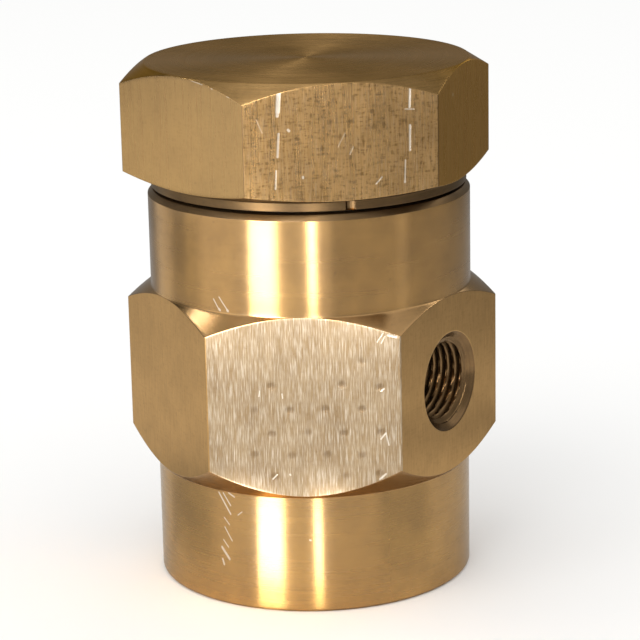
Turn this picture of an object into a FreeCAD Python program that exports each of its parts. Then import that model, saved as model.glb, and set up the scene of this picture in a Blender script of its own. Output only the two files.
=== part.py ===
import FreeCAD, Part
import math
import os

# Vacuum breaker valve, bronze, with a hexagon cap. Millimetres, +Z up.
# The origin is the middle of the bottom face. The air inlet's axis is +X.
# Air from the inlet lifts a spring-loaded valve off its seat when the
# pressure in the system falls too far, and reaches the bottom connection
# through a ring of passages.

# Hexagon bar that the body and the cap are turned from
across_flats = 36.0

# Outside of the body. A turning depth is how far below the flats a round part lies.
body_height = 44.3
lower_turning_depth = 0.3
upper_turning_depth = 0.05
hex_low_corner_z = 16.3
hex_high_corner_z = 31.2
hex_low_chamfer_deg = 46.0
hex_high_chamfer_deg = 36.8
body_top_chamfer_width = 0.5
body_top_chamfer_height = 0.6
bottom_edge_chamfer = 0.3

# System connection in the bottom, a 1/2 inch parallel pipe thread.
# Both pipe threads are bored at their major radius.
system_thread_r = 10.478
system_thread_depth = 15.0
system_mouth_r = 11.3

# Air inlet in one flat, a 1/8 inch parallel pipe thread
inlet_z = 23.65
inlet_thread_r = 4.864
inlet_thread_depth = 9.5
inlet_mouth_r = 5.5
inlet_drill_r = 2.5

# Air gallery under the seat, drilled from above at the seat's bore
gallery_below_inlet = 3.2
drill_point_deg = 118.0

# Passages from the bottom connection to the chamber, with none over the inlet
passage_r = 1.8
passage_circle_r = 8.2
passage_places = 6

# Chamber and cap thread in the top of the body
chamber_floor_z = 31.0
body_wall_at_thread = 4.4
chamber_step = 1.15
cap_thread_clearance = 0.05
cap_thread_length = 7.0
thread_relief_depth = 0.6
thread_relief_height = 1.4
gasket_recess_lip = 1.2
gasket_recess_depth = 0.65

# Cap gasket
cap_gasket_thickness = 1.0
cap_gasket_outer_clearance = 0.3
cap_gasket_inner_clearance = 0.5

# Cap
cap_turn_deg = 14.4
cap_face_turning_depth = 0.45
cap_face_height = 0.95
cap_hex_low_chamfer_deg = 18.7
cap_hex_length = 12.67
cap_corner_drop = 1.83
cap_top_inset = 0.1
cap_undercut_depth = 0.6
cap_undercut_height = 1.2
cap_spigot_wall = 2.5
cap_roof_thickness = 7.27
cap_thread_chamfer = 0.7
nick_width = 0.95
nick_depth = 0.45
nick_turn_deg = -42.6

# Guide in the cap for the stem
guide_boss_r = 4.4
guide_boss_length = 7.0
guide_bush_r = 2.9
guide_bush_length = 8.8
guide_flange_r = 3.9
guide_flange_thickness = 0.8
bush_fit = 0.02
stem_end_room_r = 2.0
stem_end_room = 1.5

# Seat, screwed into the chamber floor over its own sealing ring
seat_thread_r = 4.95
seat_thread_length = 4.0
seat_thread_clearance = 0.05
seat_bore_r = 3.9
seat_hex_flats = 12.0
seat_hex_height = 1.8
seat_hex_chamfer_deg = 30.0
seat_lip_inner_r = 4.1
seat_lip_outer_r = 4.9
seat_lip_flank = 0.25
seat_lip_height = 0.8
seat_seal_thickness = 0.5
seat_seal_inset = 0.15

# Valve: stem with its head, soft facing, retaining washer and nut
valve_lift = 3.0
lift_stop_clearance = 0.1
stem_r = 1.5
stem_running_clearance = 0.06
stem_in_bush = 7.8
stem_end_chamfer = 0.35
head_r = 6.4
head_thickness = 1.6
head_edge_chamfer = 0.3
spring_step_height = 0.8
hub_r = 2.4
spigot_r = 1.25
spigot_below_nut = 0.6
spigot_hole_clearance = 0.05
facing_inset = 0.4
facing_thickness = 1.4
washer_to_bore = 0.6
washer_thickness = 0.5
nut_flats = 5.0
nut_height = 2.0
nut_chamfer_deg = 30.0

# Closing spring with closed ends ground flat, and the shim over it.
# The wire's section has eight sides, which keeps the many turns light.
spring_wire_r = 0.25
spring_wire_sides = 8
spring_clearance = 0.35
spring_active_turns = 5
spring_end_turns = 1
spring_coil_gap = 0.03
spring_ground_depth = 0.1
shim_thickness = 0.5
shim_width = 1.6
shim_clearance = 0.2

# Radii that follow from the sizes above
lower_cyl_r = across_flats / 2 - lower_turning_depth
upper_cyl_r = across_flats / 2 - upper_turning_depth
body_thread_r = upper_cyl_r - body_wall_at_thread
chamber_r = body_thread_r - chamber_step
gasket_recess_r = upper_cyl_r - body_top_chamfer_width - gasket_recess_lip
cap_thread_r = body_thread_r - cap_thread_clearance
cap_face_r = across_flats / 2 - cap_face_turning_depth
cap_top_flat_r = across_flats / 2 - cap_top_inset
cap_cavity_r = cap_thread_r - cap_spigot_wall
seat_seal_r = seat_hex_flats / 2 - seat_seal_inset
facing_r = head_r - facing_inset
washer_r = seat_bore_r - washer_to_bore
spring_step_r = guide_boss_r
spring_mean_r = guide_boss_r + spring_clearance + spring_wire_r

# Heights that follow from the sizes above
cap_bottom_z = body_height - gasket_recess_depth + cap_gasket_thickness
cap_hex_bottom_z = cap_bottom_z + cap_face_height
cap_top_z = cap_hex_bottom_z + cap_hex_length
cap_spigot_bottom_z = cap_bottom_z - cap_thread_length
cap_roof_z = cap_top_z - cap_roof_thickness
thread_end_z = cap_spigot_bottom_z - thread_relief_height
system_roof_z = system_thread_depth
gallery_floor_z = inlet_z - gallery_below_inlet
seat_hex_z = chamber_floor_z + seat_seal_thickness
seat_top_z = seat_hex_z + seat_hex_height
seat_lip_z = seat_top_z + seat_lip_height
head_bottom_z = seat_lip_z + facing_thickness
head_top_z = head_bottom_z + head_thickness
spring_step_z = head_top_z + spring_step_height
boss_bottom_z = cap_roof_z - guide_boss_length
bush_bottom_z = boss_bottom_z - guide_flange_thickness
bush_top_z = bush_bottom_z + guide_bush_length
hub_top_z = bush_bottom_z - valve_lift - lift_stop_clearance
stem_top_z = bush_bottom_z + stem_in_bush
stem_room_top_z = stem_top_z + valve_lift + stem_end_room
washer_bottom_z = seat_lip_z - washer_thickness
nut_bottom_z = washer_bottom_z - nut_height
spigot_end_z = nut_bottom_z - spigot_below_nut
shim_bottom_z = cap_roof_z - shim_thickness

Z_AXIS = FreeCAD.Vector(0, 0, 1)
ORIGIN = FreeCAD.Vector(0, 0, 0)


def rise(run, angle_deg):
    """Height of a slope over a run."""
    return run * math.tan(math.radians(angle_deg))


def corner_radius(flats):
    """Distance from the axis to a hexagon's corner."""
    return flats / 2 / math.cos(math.radians(30))


def turned(profile):
    """Solid of revolution about Z from (radius, height) points."""
    points = [FreeCAD.Vector(r, 0, z) for r, z in profile]
    outline = Part.makePolygon(points + [points[0]])
    return Part.Face(outline).revolve(ORIGIN, Z_AXIS, 360)


def rod(radius, low_z, high_z):
    """Plain cylinder on the Z axis between two heights."""
    return turned([(0, low_z), (radius, low_z), (radius, high_z), (0, high_z)])


def ring(inner_r, outer_r, low_z, high_z):
    """Flat ring on the Z axis between two heights."""
    return turned([(inner_r, low_z), (outer_r, low_z), (outer_r, high_z), (inner_r, high_z)])


def hexagon_bar(flats, low_z, high_z, turn_deg=0.0):
    """Hexagon prism with a flat facing +X, turned about Z."""
    radius = corner_radius(flats)
    points = []
    for side in range(7):
        angle = math.radians(30 + 60 * side + turn_deg)
        points.append(FreeCAD.Vector(radius * math.cos(angle), radius * math.sin(angle), low_z))
    return Part.Face(Part.makePolygon(points)).extrude(FreeCAD.Vector(0, 0, high_z - low_z))


def drilled(radius, floor_z, mouth_z):
    """Drilled hole on the Z axis with a pointed end below its floor."""
    point = radius / math.tan(math.radians(drill_point_deg / 2))
    return turned([(0, floor_z - point), (radius, floor_z), (radius, mouth_z), (0, mouth_z)])


def body_outside():
    """Two round ends and a hexagon between them, whose corners are chamfered."""
    corner_r = corner_radius(across_flats)
    low_start = hex_low_corner_z - rise(corner_r - lower_cyl_r, hex_low_chamfer_deg)
    high_end = hex_high_corner_z + rise(corner_r - upper_cyl_r, hex_high_chamfer_deg)
    beyond = 1.0
    low_out = hex_low_corner_z + rise(beyond, hex_low_chamfer_deg)
    high_out = hex_high_corner_z - rise(beyond, hex_high_chamfer_deg)
    profile = [
        (0, 0),
        (lower_cyl_r - bottom_edge_chamfer, 0),
        (lower_cyl_r, bottom_edge_chamfer),
        (lower_cyl_r, low_start),
        (corner_r + beyond, low_out),
        (corner_r + beyond, high_out),
        (upper_cyl_r, high_end),
        (upper_cyl_r, body_height - body_top_chamfer_height),
        (upper_cyl_r - body_top_chamfer_width, body_height),
        (0, body_height),
    ]
    return turned(profile).common(hexagon_bar(across_flats, 0, body_height))


def chamber_hole():
    """Bore in the body's top: gasket recess, cap thread, its relief, chamber."""
    relief_r = body_thread_r + thread_relief_depth
    recess_z = body_height - gasket_recess_depth
    profile = [
        (0, chamber_floor_z),
        (chamber_r, chamber_floor_z),
        (chamber_r, thread_end_z),
        (relief_r, thread_end_z),
        (relief_r, cap_spigot_bottom_z),
        (body_thread_r, cap_spigot_bottom_z),
        (body_thread_r, recess_z),
        (gasket_recess_r, recess_z),
        (gasket_recess_r, body_height),
        (0, body_height),
    ]
    return turned(profile)


def system_hole():
    """Threaded hole in the bottom with a 45 degree mouth."""
    profile = [
        (0, 0),
        (system_mouth_r, 0),
        (system_thread_r, system_mouth_r - system_thread_r),
        (system_thread_r, system_roof_z),
        (0, system_roof_z),
    ]
    return turned(profile)


def inlet_hole():
    """Threaded hole in the +X flat, and the drilling that meets the gallery."""
    flat = across_flats / 2
    thread_end = flat - inlet_thread_depth
    mouth = inlet_mouth_r - inlet_thread_r
    profile = [
        (0, 0),
        (inlet_drill_r, 0),
        (inlet_drill_r, thread_end),
        (inlet_thread_r, thread_end),
        (inlet_thread_r, flat - mouth),
        (inlet_mouth_r, flat),
        (0, flat),
    ]
    hole = turned(profile)
    hole.rotate(ORIGIN, FreeCAD.Vector(0, 1, 0), 90)
    hole.translate(FreeCAD.Vector(0, 0, inlet_z))
    return hole


def valve_body():
    """Body with its ports, gallery, passages and chamber."""
    body = body_outside()
    holes = [chamber_hole(), system_hole(), inlet_hole()]
    holes.append(drilled(seat_bore_r, gallery_floor_z, chamber_floor_z))
    holes.append(rod(seat_thread_r + seat_thread_clearance,
                     chamber_floor_z - seat_thread_length, chamber_floor_z))
    for place in range(1, passage_places):
        hole = rod(passage_r, system_roof_z, chamber_floor_z)
        angle = math.radians(360 * place / passage_places)
        hole.translate(FreeCAD.Vector(passage_circle_r * math.cos(angle),
                                      passage_circle_r * math.sin(angle), 0))
        holes.append(hole)
    return body.cut(holes)


def cap_outside():
    """Hexagon cap with chamfered corners, a round face under it and a spigot."""
    corner_r = corner_radius(across_flats)
    beyond = 1.0
    low_out = cap_hex_bottom_z + rise(corner_r + beyond - cap_face_r, cap_hex_low_chamfer_deg)
    top_slope = cap_corner_drop / (corner_r - cap_top_flat_r)
    top_out = cap_top_z - top_slope * (corner_r + beyond - cap_top_flat_r)
    undercut_r = cap_thread_r - cap_undercut_depth
    profile = [
        (0, cap_spigot_bottom_z),
        (cap_thread_r - cap_thread_chamfer, cap_spigot_bottom_z),
        (cap_thread_r, cap_spigot_bottom_z + cap_thread_chamfer),
        (cap_thread_r, cap_bottom_z - cap_undercut_height),
        (undercut_r, cap_bottom_z - cap_undercut_height),
        (undercut_r, cap_bottom_z),
        (cap_face_r, cap_bottom_z),
        (cap_face_r, cap_hex_bottom_z),
        (corner_r + beyond, low_out),
        (corner_r + beyond, top_out),
        (cap_top_flat_r, cap_top_z),
        (0, cap_top_z),
    ]
    bar = hexagon_bar(across_flats, cap_spigot_bottom_z, cap_top_z, cap_turn_deg)
    return turned(profile).common(bar)


def cap_inside():
    """Cavity with the guide boss left standing, and the hole for bush and stem."""
    bush_hole_r = guide_bush_r + bush_fit
    cavity = ring(guide_boss_r, cap_cavity_r, boss_bottom_z, cap_roof_z)
    below_boss = rod(cap_cavity_r, cap_spigot_bottom_z, boss_bottom_z)
    bush_hole = rod(bush_hole_r, boss_bottom_z, bush_top_z)
    stem_room = rod(stem_end_room_r, bush_top_z, stem_room_top_z)
    return [cavity, below_boss, bush_hole, stem_room]


def cap_nick():
    """Small dent across the round face under the cap."""
    nick = Part.makeBox(nick_depth * 2, nick_width, cap_face_height,
                        FreeCAD.Vector(cap_face_r - nick_depth, -nick_width / 2, cap_bottom_z))
    nick.rotate(ORIGIN, Z_AXIS, nick_turn_deg)
    return nick


def hex_cap():
    """Screwed cap that closes the chamber and holds the guide."""
    cap = cap_outside().cut(cap_inside())
    lump = cap_nick().common(rod(cap_face_r + nick_depth, cap_bottom_z, cap_hex_bottom_z))
    return cap.cut(lump)


def cap_gasket():
    """Flat gasket between the body's recess and the cap."""
    inner_r = cap_thread_r + cap_gasket_inner_clearance
    outer_r = gasket_recess_r - cap_gasket_outer_clearance
    return ring(inner_r, outer_r, body_height - gasket_recess_depth, cap_bottom_z)


def seat_insert():
    """Hexagon seat with a turned lip, bored through."""
    corner_r = corner_radius(seat_hex_flats)
    flat_r = seat_hex_flats / 2
    crown = rise(corner_r - flat_r, seat_hex_chamfer_deg)
    head = turned([
        (0, seat_hex_z),
        (corner_r, seat_hex_z),
        (corner_r, seat_top_z - crown),
        (flat_r, seat_top_z),
        (0, seat_top_z),
    ])
    head = head.common(hexagon_bar(seat_hex_flats, seat_hex_z, seat_top_z))
    shank = rod(seat_thread_r, chamber_floor_z - seat_thread_length, seat_hex_z)
    lip = turned([
        (0, seat_top_z),
        (seat_lip_outer_r + seat_lip_flank, seat_top_z),
        (seat_lip_outer_r, seat_lip_z),
        (0, seat_lip_z),
    ])
    mouth = turned([
        (0, seat_top_z),
        (seat_bore_r, seat_top_z),
        (seat_lip_inner_r, seat_lip_z),
        (0, seat_lip_z),
    ])
    bore = rod(seat_bore_r, chamber_floor_z - seat_thread_length, seat_top_z)
    return head.fuse([shank, lip]).cut([bore, mouth]).removeSplitter()


def seat_seal():
    """Sealing ring between the seat's hexagon and the chamber floor."""
    inner_r = seat_thread_r + seat_thread_clearance
    return ring(inner_r, seat_seal_r, chamber_floor_z, seat_hex_z)


def valve_stem():
    """Stem, stop hub, spring step, head and spigot in one turned piece."""
    profile = [
        (0, spigot_end_z),
        (spigot_r, spigot_end_z),
        (spigot_r, head_bottom_z),
        (head_r, head_bottom_z),
        (head_r, head_top_z - head_edge_chamfer),
        (head_r - head_edge_chamfer, head_top_z),
        (spring_step_r, head_top_z),
        (spring_step_r, spring_step_z),
        (hub_r, spring_step_z),
        (hub_r, hub_top_z),
        (stem_r, hub_top_z),
        (stem_r, stem_top_z - stem_end_chamfer),
        (stem_r - stem_end_chamfer, stem_top_z),
        (0, stem_top_z),
    ]
    return turned(profile)


def facing_seal():
    """Soft facing under the head, which closes on the seat's lip."""
    return ring(spigot_r + spigot_hole_clearance, facing_r, seat_lip_z, head_bottom_z)


def facing_washer():
    """Washer that holds the facing against the head."""
    return ring(spigot_r + spigot_hole_clearance, washer_r, washer_bottom_z, seat_lip_z)


def facing_nut():
    """Hexagon nut on the spigot, chamfered on its lower side."""
    corner_r = corner_radius(nut_flats)
    flat_r = nut_flats / 2
    crown = rise(corner_r - flat_r, nut_chamfer_deg)
    blank = turned([
        (0, nut_bottom_z),
        (flat_r, nut_bottom_z),
        (corner_r, nut_bottom_z + crown),
        (corner_r, washer_bottom_z),
        (0, washer_bottom_z),
    ])
    blank = blank.common(hexagon_bar(nut_flats, nut_bottom_z, washer_bottom_z))
    return blank.cut(rod(spigot_r + spigot_hole_clearance, nut_bottom_z, washer_bottom_z))


def guide_bush():
    """Flanged bush in the cap's boss, in which the stem slides."""
    bore_r = stem_r + stem_running_clearance
    profile = [
        (bore_r, bush_bottom_z),
        (guide_flange_r, bush_bottom_z),
        (guide_flange_r, boss_bottom_z),
        (guide_bush_r, boss_bottom_z),
        (guide_bush_r, bush_top_z),
        (bore_r, bush_top_z),
    ]
    return turned(profile)


def spring_shim():
    """Shim between the spring and the cap's roof, which sets the preload."""
    inner_r = guide_boss_r + shim_clearance
    return ring(inner_r, inner_r + shim_width, shim_bottom_z, cap_roof_z)


def wire_section(middle):
    """Face across the wire, whose flats face up, down, in and out."""
    corner = spring_wire_r / math.cos(math.pi / spring_wire_sides)
    points = []
    for step in range(spring_wire_sides + 1):
        angle = 2 * math.pi * (step + 0.5) / spring_wire_sides
        offset = FreeCAD.Vector(corner * math.cos(angle), 0, corner * math.sin(angle))
        points.append(middle + offset)
    return Part.Face(Part.makePolygon(points))


def half_turn(section, start_z, pitch, side):
    """Skin of half a turn of wire, and the section it ends on.

    The wire follows an arc in a tilted plane, which leaves and ends level,
    so that the next half turn carries on without a kink.
    """
    centre = FreeCAD.Vector(0, 0, start_z + pitch / 4)
    start = FreeCAD.Vector(side * spring_mean_r, 0, start_z)
    axis = (start - centre).cross(FreeCAD.Vector(0, side, 0))
    skin = [edge.revolve(centre, axis, 180) for edge in section.Edges]
    end_section = section.copy()
    end_section.rotate(centre, axis, 180)
    return skin, end_section


def closing_spring():
    """Compression spring between the head and the shim, ends ground flat."""
    wire = 2 * spring_wire_r
    end_pitch = wire + spring_coil_gap
    first_z = head_top_z + spring_wire_r - spring_ground_depth
    last_z = shim_bottom_z - spring_wire_r + spring_ground_depth
    active_height = last_z - first_z - 2 * spring_end_turns * end_pitch
    pitches = [end_pitch] * spring_end_turns
    pitches += [active_height / spring_active_turns] * spring_active_turns
    pitches += [end_pitch] * spring_end_turns
    z = first_z
    section = wire_section(FreeCAD.Vector(spring_mean_r, 0, first_z))
    skins = [section]
    for pitch in pitches:
        for side in (1, -1):
            skin, section = half_turn(section, z, pitch, side)
            skins += skin
            z += pitch / 2
    skins.append(section)
    faces = [face for skin in skins for face in skin.Faces]
    hull = Part.Compound(faces)
    hull.sewShape()
    coil = Part.Solid(Part.Shell(hull.Faces))
    if coil.Volume < 0:
        coil.reverse()
    return coil.common(rod(spring_mean_r + wire, head_top_z, shim_bottom_z))


NODES = {
    "valve_body": valve_body,
    "hex_cap": hex_cap,
    "cap_gasket": cap_gasket,
    "seat_insert": seat_insert,
    "seat_seal": seat_seal,
    "valve_stem": valve_stem,
    "facing_seal": facing_seal,
    "facing_washer": facing_washer,
    "facing_nut": facing_nut,
    "guide_bush": guide_bush,
    "spring_shim": spring_shim,
    "closing_spring": closing_spring,
}

os.makedirs("parts", exist_ok=True)
for name, make in NODES.items():
    shape = make()
    shape.exportStep("parts/" + name + ".step")
    print(name, "valid", shape.isValid(), "solids", len(shape.Solids),
          "volume", round(shape.Volume, 3))
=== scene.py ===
"""Looks of a bronze vacuum breaker valve that stands on its threaded lower end.

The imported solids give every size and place. This script lays finer skins over the body, the
cap and the spring, cuts the pipe threads, gives every piece its finish, and sets up the
studio: pale floor, soft strip lamps, graded side cards and the camera.
"""

import logging
import math
from dataclasses import dataclass, field
from enum import Enum, IntEnum
from typing import Callable, Iterable, Sequence

import bmesh
import bpy
import numpy as np
from mathutils import Matrix, Vector
from mathutils.geometry import delaunay_2d_cdt


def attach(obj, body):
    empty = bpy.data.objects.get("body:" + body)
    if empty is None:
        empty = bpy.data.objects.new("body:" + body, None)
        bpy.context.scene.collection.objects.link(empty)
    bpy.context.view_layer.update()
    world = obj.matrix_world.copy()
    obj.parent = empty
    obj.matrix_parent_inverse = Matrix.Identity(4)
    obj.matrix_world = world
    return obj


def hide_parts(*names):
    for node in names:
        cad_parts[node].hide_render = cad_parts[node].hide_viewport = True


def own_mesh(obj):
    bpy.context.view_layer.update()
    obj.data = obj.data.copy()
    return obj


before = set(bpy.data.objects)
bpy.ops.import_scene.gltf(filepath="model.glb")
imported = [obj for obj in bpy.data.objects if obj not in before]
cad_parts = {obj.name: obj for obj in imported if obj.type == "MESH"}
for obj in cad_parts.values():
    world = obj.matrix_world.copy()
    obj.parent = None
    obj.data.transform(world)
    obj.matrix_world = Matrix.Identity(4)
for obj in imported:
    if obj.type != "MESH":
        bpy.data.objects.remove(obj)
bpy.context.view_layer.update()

LOG = logging.getLogger("vacuum_breaker")
MM = 0.001
LAY_SPAN = 128.0  # millimetres of surface in one unit of the lay map
TURN = 2 * math.pi
HALF_FACE = math.pi / 6  # angle from the middle of a hexagon's face to its corner
FRONT_FACE = 5  # number of the hexagons' face that looks at the camera
Array = np.ndarray


class BodyName(Enum):
    """Bodies that new pieces ride on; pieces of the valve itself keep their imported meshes."""

    HOUSING = "housing"


class Grain(Enum):
    """Direction in which tool marks run on a metal surface."""

    UPRIGHT = "upright"
    AROUND = "around"
    ALONG_PORT = "along_port"


class BodyCut(IntEnum):
    """Slots of the body's skin, one for each way its surface was cut."""

    FLAT = 0
    LOW = 1
    # Inlet bore, dark with painted shade.
    PORT = 2
    HIGH = 3
    FRONT = 4
    # Edge under the cap, dark with painted shade.
    TOP_EDGE = 5
    CONE = 6


class CapCut(IntEnum):
    """Slots of the cap's skin."""

    FLAT = 0
    TURNED = 1
    FRONT = 2
    # Edges under the overhang and upright corners, dark with painted shade.
    SHADE_PAINTED_EDGES = 3


def linear(code: str) -> tuple[float, float, float, float]:
    """Turn an sRGB hex colour into linear light.

    Args:
        code: colour as "#RRGGBB".

    Returns:
        Red, green, blue and alpha 1 in linear light.
    """
    parts = [int(code[i:i + 2], 16) / 255 for i in (1, 3, 5)]
    light = [p / 12.92 if p <= 0.04045 else ((p + 0.055) / 1.055) ** 2.4 for p in parts]
    return (light[0], light[1], light[2], 1.0)


def add_node(tree: bpy.types.NodeTree, kind: str, inputs: dict | None = None,
             out: int | str = 0, **settings: object) -> bpy.types.NodeSocket | None:
    """Add a shader node with its settings, values and incoming links.

    Args:
        tree: node tree that gets the node.
        kind: Blender's node type without its ShaderNode prefix.
        inputs: socket name or number to a value, or to the output socket to link from.
        out: name or number of the output that is wanted.
        settings: attributes of the node.

    Returns:
        That output socket, or None where the node has none.
    """
    node = tree.nodes.new("ShaderNode" + kind)
    for name, value in settings.items():
        setattr(node, name, value)
    for key, value in (inputs or {}).items():
        socket = node.inputs[key]
        if isinstance(value, bpy.types.NodeSocket):
            tree.links.new(value, socket)
        else:
            socket.default_value = value
    return node.outputs[out] if node.outputs else None


def blank_material(name: str) -> tuple[bpy.types.Material, bpy.types.NodeTree]:
    """Make a material with an empty node tree."""
    material = bpy.data.materials.new(name)
    material.use_nodes = True
    material.node_tree.nodes.clear()
    return material, material.node_tree


def grid_corners(rows: int, cols: int, wrap: bool) -> tuple[Array, Array]:
    """Corner numbers of the quads of a grid of points.

    Args:
        rows: points from the first edge to the last.
        cols: points along a row; with wrap the last one joins the first.
        wrap: whether rows close on themselves.

    Returns:
        Vertex numbers, and numbers into a lay table with one more column when wrapped.
    """
    wide = cols if wrap else cols - 1
    i, j = np.meshgrid(np.arange(rows - 1), np.arange(wide), indexing="ij")
    i, j = i.ravel(), j.ravel()
    following = (j + 1) % cols if wrap else j + 1
    points = np.stack([i * cols + j, i * cols + following,
                       (i + 1) * cols + following, (i + 1) * cols + j], axis=1)
    span = cols + 1 if wrap else cols
    lay = np.stack([i * span + j, i * span + j + 1,
                    (i + 1) * span + j + 1, (i + 1) * span + j], axis=1)
    return points, lay


@dataclass
class Skin:
    """Patches of one piece, in millimetres, with a lay map that follows the surface."""

    points: list[Array] = field(default_factory=list)
    corners: list[Array] = field(default_factory=list)
    lays: list[Array] = field(default_factory=list)
    finishes: list[Array] = field(default_factory=list)
    count: int = 0

    def add(self, points: Array, corners: Array, lay: Array, finish: int | Array = 0) -> None:
        """Add a patch.

        Args:
            points: (n, 3) places in millimetres.
            corners: (faces, 3 or 4) vertex numbers of the patch.
            lay: (faces, 3 or 4, 2) lay map of each face corner in millimetres.
            finish: slot number of the patch, or one per face.
        """
        self.points.append(points.reshape(-1, 3))
        self.corners.append(corners + self.count)
        self.lays.append(lay)
        self.finishes.append(np.broadcast_to(finish, len(corners)).copy())
        self.count += len(self.points[-1])

    def add_grid(self, points: Array, lay: Array, wrap: bool, finish: int | Array = 0,
                 flip: bool = False, keep: Array | None = None) -> None:
        """Add a grid patch.

        Args:
            points: (rows, cols, 3) places in millimetres.
            lay: (rows, cols or cols + 1 when wrapped, 2) lay map in millimetres.
            wrap: whether rows close on themselves.
            finish: slot number, or one per face.
            flip: turn the faces round.
            keep: one flag per face, false where the patch has a window.
        """
        rows, cols = points.shape[:2]
        corners, lay_corners = grid_corners(rows, cols, wrap)
        finish = np.broadcast_to(finish, len(corners))
        if keep is not None:
            corners, lay_corners, finish = corners[keep], lay_corners[keep], finish[keep]
        if flip:
            corners, lay_corners = corners[:, ::-1], lay_corners[:, ::-1]
        self.add(points, corners, lay.reshape(-1, 2)[lay_corners], finish)

    def build(self, name: str, materials: Sequence[bpy.types.Material],
              sharp_deg: float = 40.0) -> bpy.types.Object:
        """Merge the patches into a closed mesh object in metres.

        Args:
            name: name of the object.
            materials: the slots that the finish numbers name.
            sharp_deg: edges bent by more than this stay crisp.

        Returns:
            The object, at the origin.
        """
        points = np.concatenate(self.points) * MM
        sizes = np.concatenate([np.full(len(c), c.shape[1]) for c in self.corners])
        flat_corners = np.concatenate([c.ravel() for c in self.corners])
        flat_lay = np.concatenate([lay.reshape(-1, 2) for lay in self.lays]) / LAY_SPAN
        mesh = bpy.data.meshes.new(name)
        mesh.vertices.add(len(points))
        mesh.vertices.foreach_set("co", points.astype(np.float32).ravel())
        mesh.loops.add(len(flat_corners))
        mesh.loops.foreach_set("vertex_index", flat_corners.astype(np.int32))
        mesh.polygons.add(len(sizes))
        starts = np.concatenate([[0], np.cumsum(sizes)[:-1]])
        mesh.polygons.foreach_set("loop_start", starts.astype(np.int32))
        mesh.polygons.foreach_set("material_index",
                                  np.concatenate(self.finishes).astype(np.int32))
        lay_map = mesh.uv_layers.new(name="lay")
        lay_map.data.foreach_set("uv", flat_lay.astype(np.float32).ravel())
        mesh.update(calc_edges=True)
        work = bmesh.new()
        work.from_mesh(mesh)
        bmesh.ops.remove_doubles(work, verts=work.verts, dist=0.0015 * MM)
        bmesh.ops.dissolve_degenerate(work, edges=work.edges, dist=0.0001 * MM)
        work.to_mesh(mesh)
        work.free()
        mesh.validate()
        mesh.shade_smooth()
        mesh.set_sharp_from_angle(angle=math.radians(sharp_deg))
        for material in materials:
            mesh.materials.append(material)
        piece = bpy.data.objects.new(name, mesh)
        bpy.context.scene.collection.objects.link(piece)
        return piece


@dataclass
class Bend:
    """A corner of an upright section, whose place may change round the axis.

    Attributes:
        radius: distance from the axis in millimetres, one value or one per column.
        height: height in millimetres, one value or one per column.
        ease: how far the corner is rounded off along both legs, in millimetres.
        steps: rows on the leg that leaves this corner.
        finish: slot number of the leg that leaves this corner.
    """

    radius: float | Array
    height: float | Array
    ease: float = 0.0
    steps: int = 1
    finish: int = 0


def section_rows(bends: Sequence[Bend], columns: int) -> tuple[Array, Array, Array, list[int]]:
    """Lay rows along a section whose corners are eased.

    Each corner P becomes a quadratic arc from P - e*a to P + e*b, where a and b are the unit
    directions of its legs, and rows are spaced evenly between the arcs.

    Args:
        bends: corners of the section from start to end.
        columns: number of columns round the axis.

    Returns:
        Radius and height of every row and column, the finish of each band between rows, and
        the first row of every leg.
    """
    spots = [np.stack([np.broadcast_to(np.asarray(value, float), columns)
                       for value in (bend.radius, bend.height)], axis=-1) for bend in bends]
    last = len(bends) - 1

    def arc_ends(k: int) -> list[Array]:
        """Both ends of the arc at corner k, which are the corner itself where it is sharp."""
        here = spots[k]
        if k in (0, last) or bends[k].ease == 0:
            return [here, here]
        ways = [spots[k - 1] - here, spots[k + 1] - here]
        lengths = [np.linalg.norm(way, axis=1, keepdims=True) for way in ways]
        cut = np.minimum(bends[k].ease, 0.45 * np.minimum(*lengths))
        return [here + way / np.maximum(length, 1e-9) * cut
                for way, length in zip(ways, lengths)]

    rows: list[Array] = []
    bands: list[int] = []
    legs: list[int] = []
    for k, bend in enumerate(bends):
        start, end = arc_ends(k)
        eased = start is not end
        for s in (0.0, 0.25, 0.5, 0.75, 1.0) if eased else (1.0,):
            rows.append((1 - s) ** 2 * start + 2 * s * (1 - s) * spots[k] + s ** 2 * end)
            bands.append(bend.finish if s >= 0.5 else bends[k - 1].finish)
        legs.append(len(rows) - 1)
        if k < last:
            target = arc_ends(k + 1)[0]
            for s in np.arange(1, bend.steps) / bend.steps:
                rows.append((1 - s) * end + s * target)
                bands.append(bend.finish)
    table = np.stack(rows)
    return table[..., 0], table[..., 1], np.array(bands[:-1]), legs


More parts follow.
